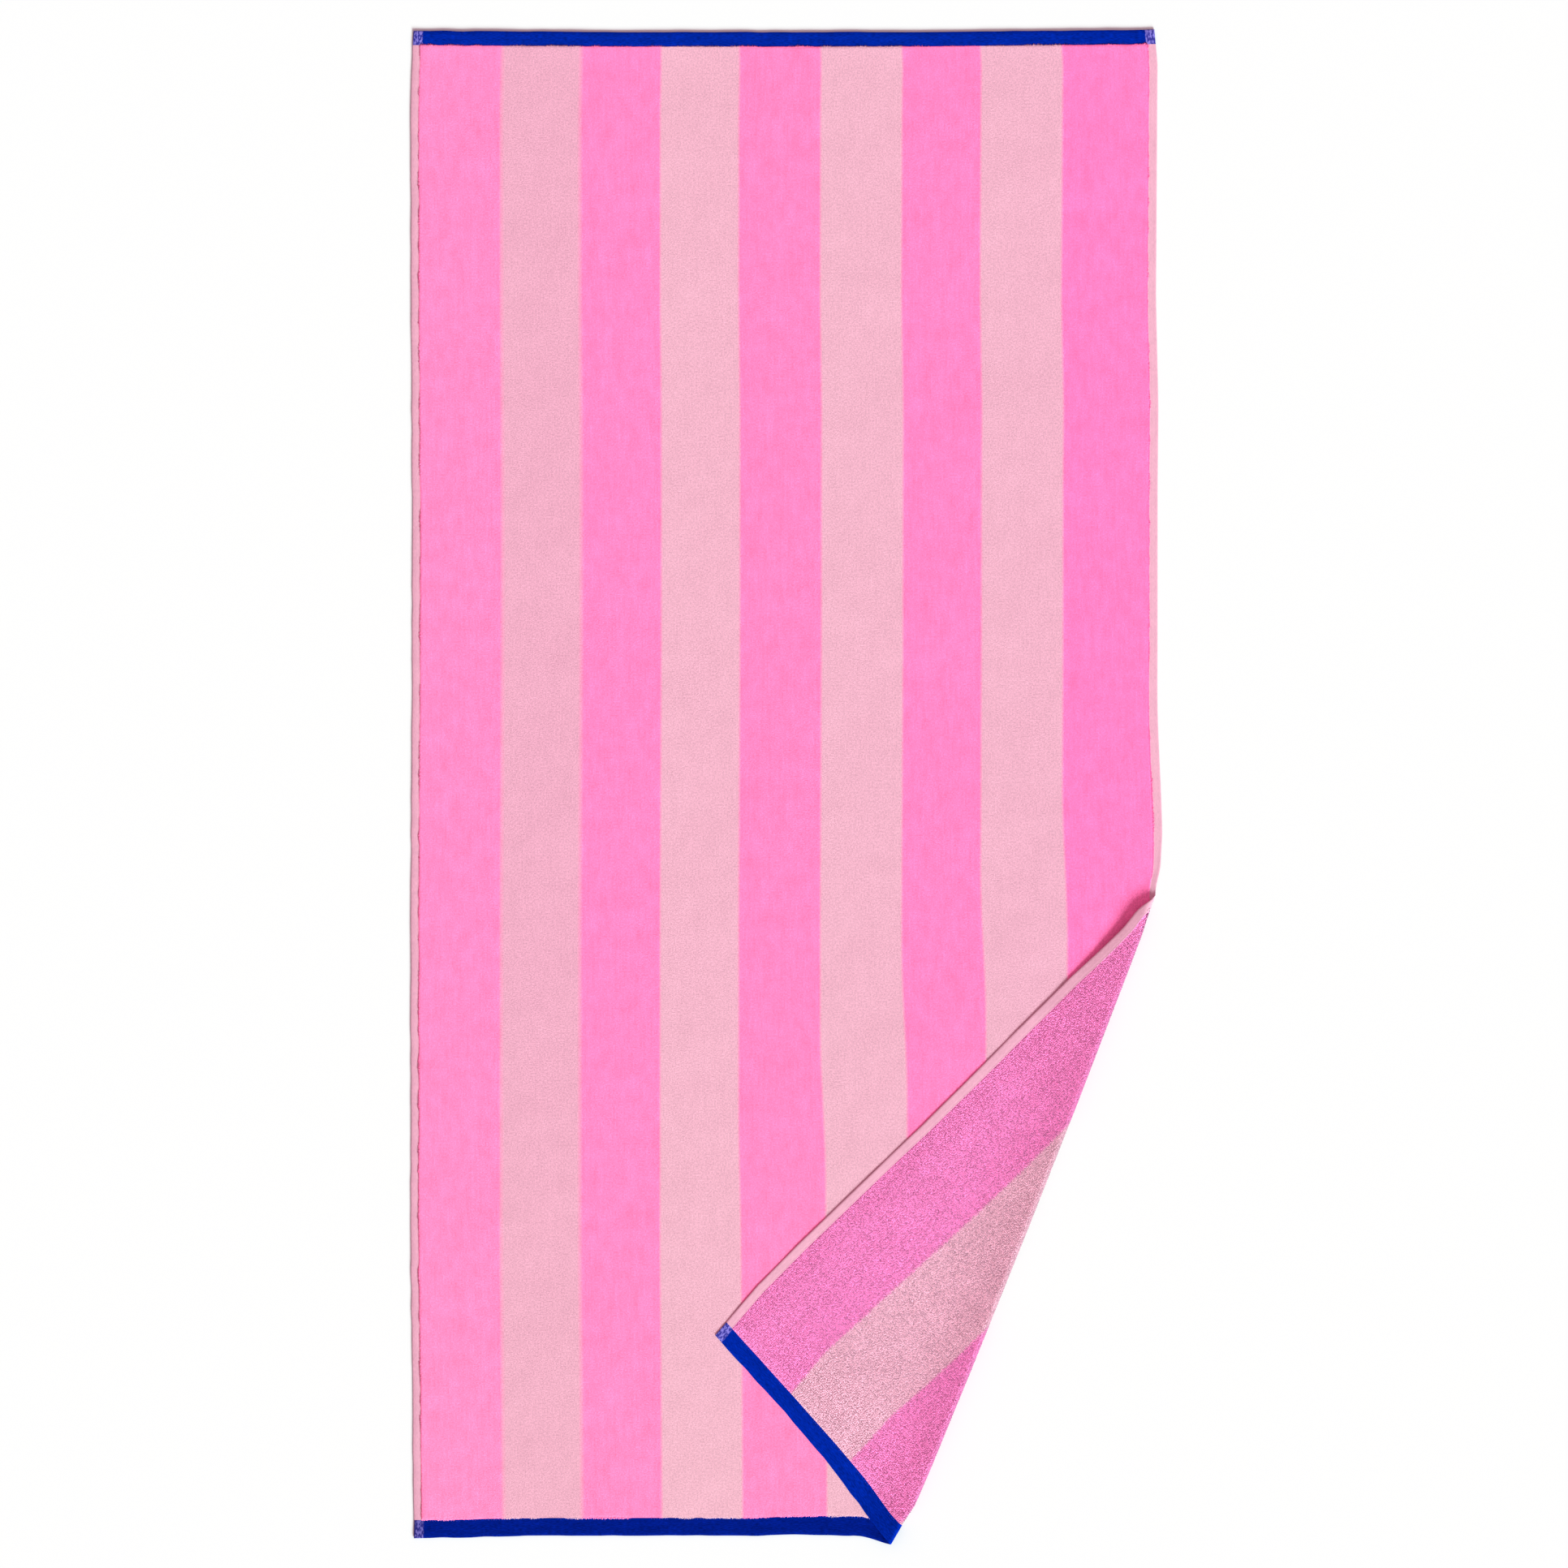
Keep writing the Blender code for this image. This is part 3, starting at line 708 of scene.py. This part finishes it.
# how far the turned-over stripes are drawn aside, at the lower hem and further up
BACK_DRAWN, BACK_FROM, BACK_TO = (0.0012, -0.0062), 0.022, 0.085
VELOUR_SHEEN, TERRY_SHEEN, SHEEN_ROUGHNESS, SHEEN_TINT = 0.10, 0.05, 0.5, (1.0, 0.8, 0.9)
# how strong the leaning pile and its streaks show, and how much of both the pale stripes take
LEANING, STREAKED, PALE_MOTTLING = 0.40, 0.20, 0.35
# the loops' ground: how uneven its cells are, and its painted shade, from light in their middles
# to dark at their edges
CELL_UNEVENNESS, CELL_EDGE, CELL_PAINTED_SHADE = 0.75, 0.8, (1.06, 0.70)
# how high the fine relief of each kind of cloth is
NAP_RELIEF, CELL_RELIEF, WEAVE_RELIEF = 0.0004, 0.0009, 0.0002
# The speckled block where the blue border crosses the selvedge: its width, its soft edge, how far
# that wavers, and between which values noise turns it lilac. At the left rim it has this light
# and gains the rest over this width, and on the front's lower hem it has this light.
CORNER_BLOCK, BLOCK_EDGE, BLOCK_WAVER, SPECKS = 0.0117, 0.001, 0.0016, (0.44, 0.60)
RIM_LIGHT, RIM_WIDTH, FRONT_LIGHT = 0.55, 0.0016, 0.66
# between which values noise makes a length of thread worn
WORN = 0.50, 0.60


class Finish:
    """A fabric material whose node tree is written step by step."""

    def __init__(self, name, roughness=0.95, sheen=0.0):
        self.material = bpy.data.materials.new(name)
        self.material.use_nodes = True
        self.tree = self.material.node_tree
        self.shader = self.tree.nodes["Principled BSDF"]
        for socket, value in (
            ("Roughness", roughness),
            ("Specular IOR Level", 0.0),
            ("Sheen Weight", sheen),
            ("Sheen Roughness", SHEEN_ROUGHNESS),
            ("Sheen Tint", (*SHEEN_TINT, 1.0)),
        ):
            self.shader.inputs[socket].default_value = value
        self.place = self.attribute("cloth", "Vector")
        split = self.tree.nodes.new("ShaderNodeSeparateXYZ")
        self.tree.links.new(self.place, split.inputs[0])
        self.u, self.v, self.front = split.outputs

    def attribute(self, name, output):
        """What the piece says of each of its points."""
        node = self.tree.nodes.new("ShaderNodeAttribute")
        node.attribute_name = name
        return node.outputs[output]

    def set(self, socket, value):
        """Links an output to a socket, or sets the socket to a number or colour."""
        if isinstance(value, bpy.types.NodeSocket):
            self.tree.links.new(value, socket)
        elif socket.type == "RGBA":
            socket.default_value = (*value, 1.0)
        else:
            socket.default_value = value

    def math(self, operation, a, b=0.0, c=0.0):
        """The result of a Math node."""
        node = self.tree.nodes.new("ShaderNodeMath")
        node.operation = operation
        for socket, value in zip(node.inputs, (a, b, c)):
            self.set(socket, value)
        return node.outputs[0]

    def product(self, *factors):
        """Factors multiplied."""
        total = factors[0]
        for factor in factors[1:]:
            total = self.math("MULTIPLY", total, factor)
        return total

    def ranged(self, value, low, high, to_low, to_high):
        """A value carried from one range to another, and kept inside it."""
        node = self.tree.nodes.new("ShaderNodeMapRange")
        for socket, number in zip(node.inputs, (value, low, high, to_low, to_high)):
            self.set(socket, number)
        return node.outputs["Result"]

    def stretched(self, across, along):
        """Cloth coordinates in bumps of this size, across and along."""
        node = self.tree.nodes.new("ShaderNodeMapping")
        self.set(node.inputs["Vector"], self.place)
        node.inputs["Scale"].default_value = (1 / across, 1 / along, 1.0)
        return node.outputs["Vector"]

    def noise(self, across, along, detail=2.0, rough=0.5):
        """Noise around 0.5, with bumps of this size in metres."""
        node = self.tree.nodes.new("ShaderNodeTexNoise")
        node.noise_dimensions = "2D"
        self.set(node.inputs["Vector"], self.stretched(across, along))
        node.inputs["Scale"].default_value = 1.0
        node.inputs["Detail"].default_value = detail
        node.inputs["Roughness"].default_value = rough
        return node.outputs["Fac"]

    def varied(self, across, along, share, detail=2.0, rough=0.5):
        """Noise around 1, by this share either way where it is 0.2 off its middle of 0.5."""
        noise = self.noise(across, along, detail, rough)
        return self.ranged(noise, 0.3, 0.7, 1 - share, 1 + share)

    def cells(self, across, along, randomness):
        """The distance from the middles of cells of this size in metres."""
        node = self.tree.nodes.new("ShaderNodeTexVoronoi")
        node.voronoi_dimensions = "2D"
        self.set(node.inputs["Vector"], self.stretched(across, along))
        node.inputs["Scale"].default_value = 1.0
        node.inputs["Randomness"].default_value = randomness
        return node.outputs["Distance"]

    def woven(self, across, along):
        """A plain weave around 0.5, with threads of this size in metres."""
        over = self.math("SINE", self.math("MULTIPLY", self.u, math.pi / across))
        under = self.math("SINE", self.math("MULTIPLY", self.v, math.pi / along))
        return self.math("MULTIPLY_ADD", self.product(over, under), 0.5, 0.5)

    def mix(self, share, a, b):
        """Two colours mixed."""
        node = self.tree.nodes.new("ShaderNodeMix")
        node.data_type = "RGBA"
        self.set(node.inputs["Factor"], share)
        for socket, value in zip([s for s in node.inputs if s.type == "RGBA"], (a, b)):
            self.set(socket, value)
        return next(output for output in node.outputs if output.type == "RGBA")

    def lit(self, colour, value):
        """A colour made lighter or darker by a value around 1."""
        node = self.tree.nodes.new("ShaderNodeVectorMath")
        node.operation = "SCALE"
        self.set(node.inputs[0], colour)
        self.set(node.inputs["Scale"], value)
        return node.outputs["Vector"]

    def bump(self, height, distance):
        """Bumps from a height, up to a distance in metres."""
        node = self.tree.nodes.new("ShaderNodeBump")
        node.inputs["Distance"].default_value = distance
        self.set(node.inputs["Height"], height)
        self.tree.links.new(node.outputs["Normal"], self.shader.inputs["Normal"])

    def bent(self):
        """How far the sheared stripes are drawn aside near the lower hem."""
        off = self.math("ABSOLUTE", self.math("SUBTRACT", self.u, BEND_EDGE))
        near = self.ranged(off, BEND_NEAR, BEND_FAR, BEND_ASIDE, 0.0)
        return self.product(near, self.ranged(self.v, END_HEMS[0], BEND_UP, 1.0, 0.0))

    def stripes(self, colours, waver, aside):
        """The lengthwise stripes: their borders waver and are drawn aside by this many metres."""
        wavering = self.math("SUBTRACT", self.noise(across=0.0012, along=0.0030), 0.5)
        at = self.math("MULTIPLY_ADD", wavering, waver, self.math("ADD", self.u, aside))
        node = self.tree.nodes.new("ShaderNodeValToRGB")
        self.set(node.inputs["Fac"], self.math("DIVIDE", at, WIDTH))
        stops = [(0.0, colours[0])]
        edge = 0.0
        for stripe, width in enumerate(STRIPES[:-1]):
            edge += width
            stops.append(((edge - STRIPE_BLUR) / WIDTH, colours[stripe]))
            stops.append(((edge + STRIPE_BLUR) / WIDTH, colours[stripe + 1]))
        ramp = node.color_ramp
        while len(ramp.elements) < len(stops):
            ramp.elements.new(0.5)
        for element, (position, colour) in zip(ramp.elements, stops):
            element.position = position
            element.color = (*colour, 1.0)
        return node.outputs["Color"]

    def colour(self, value):
        """Sets the base colour."""
        self.set(self.shader.inputs["Base Color"], value)


def velour_colour(finish):
    """The sheared pile's stripes, mottled where it leans, and more so on the deeper stripes."""
    colour = finish.stripes(FRONT, FRONT_WAVER, finish.bent())
    split = finish.tree.nodes.new("ShaderNodeSeparateColor")
    finish.set(split.inputs[0], colour)
    deep = finish.ranged(split.outputs["Green"], FRONT[0][1], FRONT[1][1], 1.0, PALE_MOTTLING)
    lean = finish.noise(across=0.016, along=0.022, detail=5.0, rough=0.68)
    leaning = finish.math("MULTIPLY", finish.math("SUBTRACT", lean, 0.5), LEANING)
    streaks = finish.math("SUBTRACT", finish.noise(across=0.0030, along=0.050), 0.5)
    mottling = finish.math("MULTIPLY_ADD", streaks, STREAKED, leaning)
    mottled = finish.math("MULTIPLY_ADD", mottling, deep, 1.0)
    fine_nap = finish.varied(across=0.0018, along=0.0021, share=0.15, detail=3.0, rough=0.6)
    lower_share = finish.ranged(finish.v, LOWER_SHIFT_FROM, LOWER_SHIFT_TO, 0.0, 1.0)
    paler = finish.tree.nodes.new("ShaderNodeVectorMath")
    paler.operation = "MULTIPLY_ADD"
    finish.set(paler.inputs[0], finish.mix(lower_share, (0.0, 0.0, 0.0), LOWER_SHIFT))
    finish.set(paler.inputs[1], (1.0, 1.0, 1.0))
    finish.set(paler.inputs[2], colour)
    return finish.lit(paler.outputs[0], finish.product(mottled, fine_nap))


def velour():
    """The sheared front: soft and mottled, with a fine nap."""
    finish = Finish("velour_front", sheen=VELOUR_SHEEN)
    finish.colour(velour_colour(finish))
    finish.bump(finish.noise(across=0.0010, along=0.0012, detail=3.0, rough=0.6), NAP_RELIEF)
    return finish.material


def pile_tufts():
    """The same pile where single tufts stand out of it."""
    finish = Finish("pile_tufts", sheen=VELOUR_SHEEN)
    finish.colour(finish.lit(velour_colour(finish), finish.attribute("shade", "Fac")))
    return finish.material


def terry():
    """The looped back's ground: rows of small loops, with painted shade between them and around
    the fold's nose.
    """
    finish = Finish("terry_back", sheen=TERRY_SHEEN)
    striped = [LOOPED_PALE if stripe % 2 else LOOPED_ROSE for stripe in range(len(STRIPES))]
    aside = finish.ranged(finish.v, BACK_FROM, BACK_TO, *BACK_DRAWN)
    colour = finish.stripes(striped, BACK_WAVER, aside)
    loops = finish.cells(LOOP_ACROSS, LOOP_ALONG, CELL_UNEVENNESS)
    # painted shade between the loops and at the fold's nose, with faint blotches
    light = finish.product(
        finish.ranged(loops, 0.0, CELL_EDGE, *CELL_PAINTED_SHADE),
        finish.attribute("shade", "Fac"),
        finish.varied(across=0.030, along=0.040, share=0.02),
    )
    finish.colour(finish.lit(colour, light))
    finish.bump(finish.math("SUBTRACT", 1.0, loops), CELL_RELIEF)
    return finish.material


def looped(name, colour):
    """The loops: each with its own depth of colour, with painted shade at its foot and around the
    fold's nose.
    """
    finish = Finish(name, sheen=TERRY_SHEEN)
    light = finish.product(
        finish.attribute("shade", "Fac"),
        finish.varied(across=0.030, along=0.040, share=0.02, detail=3.0),
        finish.varied(across=0.0011, along=0.0013, share=0.14),
    )
    finish.colour(finish.lit(colour, light))
    return finish.material


def side_hem():
    """The pale flat-woven selvedge."""
    finish = Finish("side_hem", roughness=0.85, sheen=0.03)
    threads = finish.product(
        finish.varied(across=0.0007, along=0.0040, share=0.08),
        finish.varied(across=0.009, along=0.016, share=0.03),
    )
    finish.colour(finish.lit(SELVEDGE, threads))
    finish.bump(finish.woven(across=0.0006, along=0.0007), WEAVE_RELIEF)
    return finish.material


def end_hem():
    """The blue flat-woven border, speckled where it crosses the pale selvedge."""
    finish = Finish("end_hem", roughness=0.90)
    deeper = finish.math("MULTIPLY", finish.front, finish.math("LESS_THAN", finish.v, END_HEMS[0]))
    threads = finish.product(
        finish.varied(across=0.0050, along=0.0010, share=0.30),
        finish.varied(across=0.030, along=0.006, share=0.10),
    )
    blue = finish.lit(finish.mix(deeper, BLUE, DEEP_BLUE), threads)
    speckled = finish.noise(across=0.0020, along=0.0044, detail=1.0)
    specks = finish.ranged(speckled, *SPECKS, 0.0, 1.0)
    edge = finish.math("MINIMUM", finish.u, finish.math("SUBTRACT", WIDTH, finish.u))
    uneven = finish.noise(across=0.002, along=0.002)
    wavering = finish.math("MULTIPLY_ADD", uneven, BLOCK_WAVER, edge)
    inside = finish.ranged(wavering, CORNER_BLOCK, CORNER_BLOCK + BLOCK_EDGE, 0.0, 1.0)
    rim = finish.ranged(finish.u, 0.0, RIM_WIDTH, RIM_LIGHT, 1.0)
    light = finish.product(rim, finish.ranged(deeper, 0.0, 1.0, 1.0, FRONT_LIGHT))
    block = finish.lit(finish.mix(specks, PURPLE, LILAC), light)
    finish.colour(finish.mix(inside, block, blue))
    finish.bump(finish.woven(across=0.0008, along=0.0006), WEAVE_RELIEF)
    return finish.material


def thread(name, colour, worn):
    """Sewing thread, paler along the lengths where the seam has worn."""
    finish = Finish(name, roughness=0.7, sheen=0.02)
    wear = finish.ranged(finish.noise(across=0.012, along=0.012), *WORN, 0.0, 1.0)
    twist = finish.product(
        finish.attribute("shade", "Fac"), finish.varied(across=0.0005, along=0.0005, share=0.08)
    )
    finish.colour(finish.lit(finish.mix(wear, colour, worn), twist))
    return finish.material


# ---- Camera, light and floor ------------------------------------------------------------------

LIGHT_DISTANCE = 9.0
# the light that comes from all round, warmed as the cloth warms it
AMBIENT = (0.66, 0.425, 0.485)
# half the floor's side, how far it lies below the cloth, its grey and its finish
FLOOR_SIZE, FLOOR_GAP = 30.0, 0.0003
FLOOR_GREY, FLOOR_ROUGHNESS, FLOOR_GLOSS = 0.675, 0.9, 0.1


def make_camera():
    """Straight above the towel, framed as the photo is."""
    data = bpy.data.cameras.new("photo_camera")
    camera = bpy.data.objects.new("photo_camera", data)
    bpy.context.scene.collection.objects.link(camera)
    middle = (PIXELS / 2 - ORIGIN_PIXEL) * PIXEL
    camera.location = (middle, -middle, CAMERA_HEIGHT)
    data.sensor_width = SENSOR
    data.lens = SENSOR * (CAMERA_HEIGHT - PILE) / (PIXELS * PIXEL)
    data.clip_start, data.clip_end = CLIP
    bpy.context.scene.camera = camera


def make_light(azimuth, elevation, spread, power, colour):
    """A soft far light aimed at the towel: azimuth 0 is +X and 90 is +Y."""
    data = bpy.data.lights.new("key", "SUN")
    data.angle = math.radians(spread)
    data.energy = power
    data.color = colour
    light = bpy.data.objects.new("key", data)
    bpy.context.scene.collection.objects.link(light)
    a, e = math.radians(azimuth), math.radians(elevation)
    light.location = LIGHT_DISTANCE * np.array(
        (math.cos(a) * math.cos(e), math.sin(a) * math.cos(e), math.sin(e))
    )
    light.rotation_euler = (math.pi / 2 - e, 0.0, math.pi / 2 + a)


def make_floor():
    """A plain pale floor."""
    corners = np.array(((-1, -1, 0), (1, -1, 0), (1, 1, 0), (-1, 1, 0))) * FLOOR_SIZE
    material = bpy.data.materials.new("pale_floor")
    material.use_nodes = True
    shader = material.node_tree.nodes["Principled BSDF"]
    shader.inputs["Base Color"].default_value = (FLOOR_GREY, FLOOR_GREY, FLOOR_GREY, 1.0)
    shader.inputs["Roughness"].default_value = FLOOR_ROUGHNESS
    shader.inputs["Specular IOR Level"].default_value = FLOOR_GLOSS
    floor = add_mesh("floor", corners, np.array(((0, 1, 2, 3),)), [material])
    floor.location.z = -FLOOR_GAP


def make_world(colour):
    """Even light of this colour from all round."""
    world = bpy.data.worlds.new("studio")
    world.use_nodes = True
    background = world.node_tree.nodes["Background"]
    background.inputs["Color"].default_value = (*colour, 1.0)
    background.inputs["Strength"].default_value = 1.0
    bpy.context.scene.world = world


make_camera()
make_world(AMBIENT)
make_light(azimuth=-66, elevation=25, spread=24, power=7.75, colour=(0.783, 1.005, 0.945))
make_floor()
bpy.context.scene.view_settings.view_transform = "Standard"

cloth = make_cloth([velour(), terry(), side_hem(), end_hem()])
tufts = pile_tufts()
side_thread = thread("side_thread", SELVEDGE, SELVEDGE)
end_thread = thread("end_thread", BLUE, LILAC)
extras = make_loops(looped("loops_rose", LOOPED_ROSE), looped("loops_pale", LOOPED_PALE))
extras += [
    make_pile_edge(tufts),
    make_stitches("side_stitches_front", side_thread, True, True),
    make_stitches("side_stitches_back", side_thread, False, True),
    make_stitches("end_stitches_front", end_thread, True, False),
    make_stitches("end_stitches_back", end_thread, False, False),
]
for piece in [cloth] + extras:
    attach(piece, "root")
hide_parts("towel")
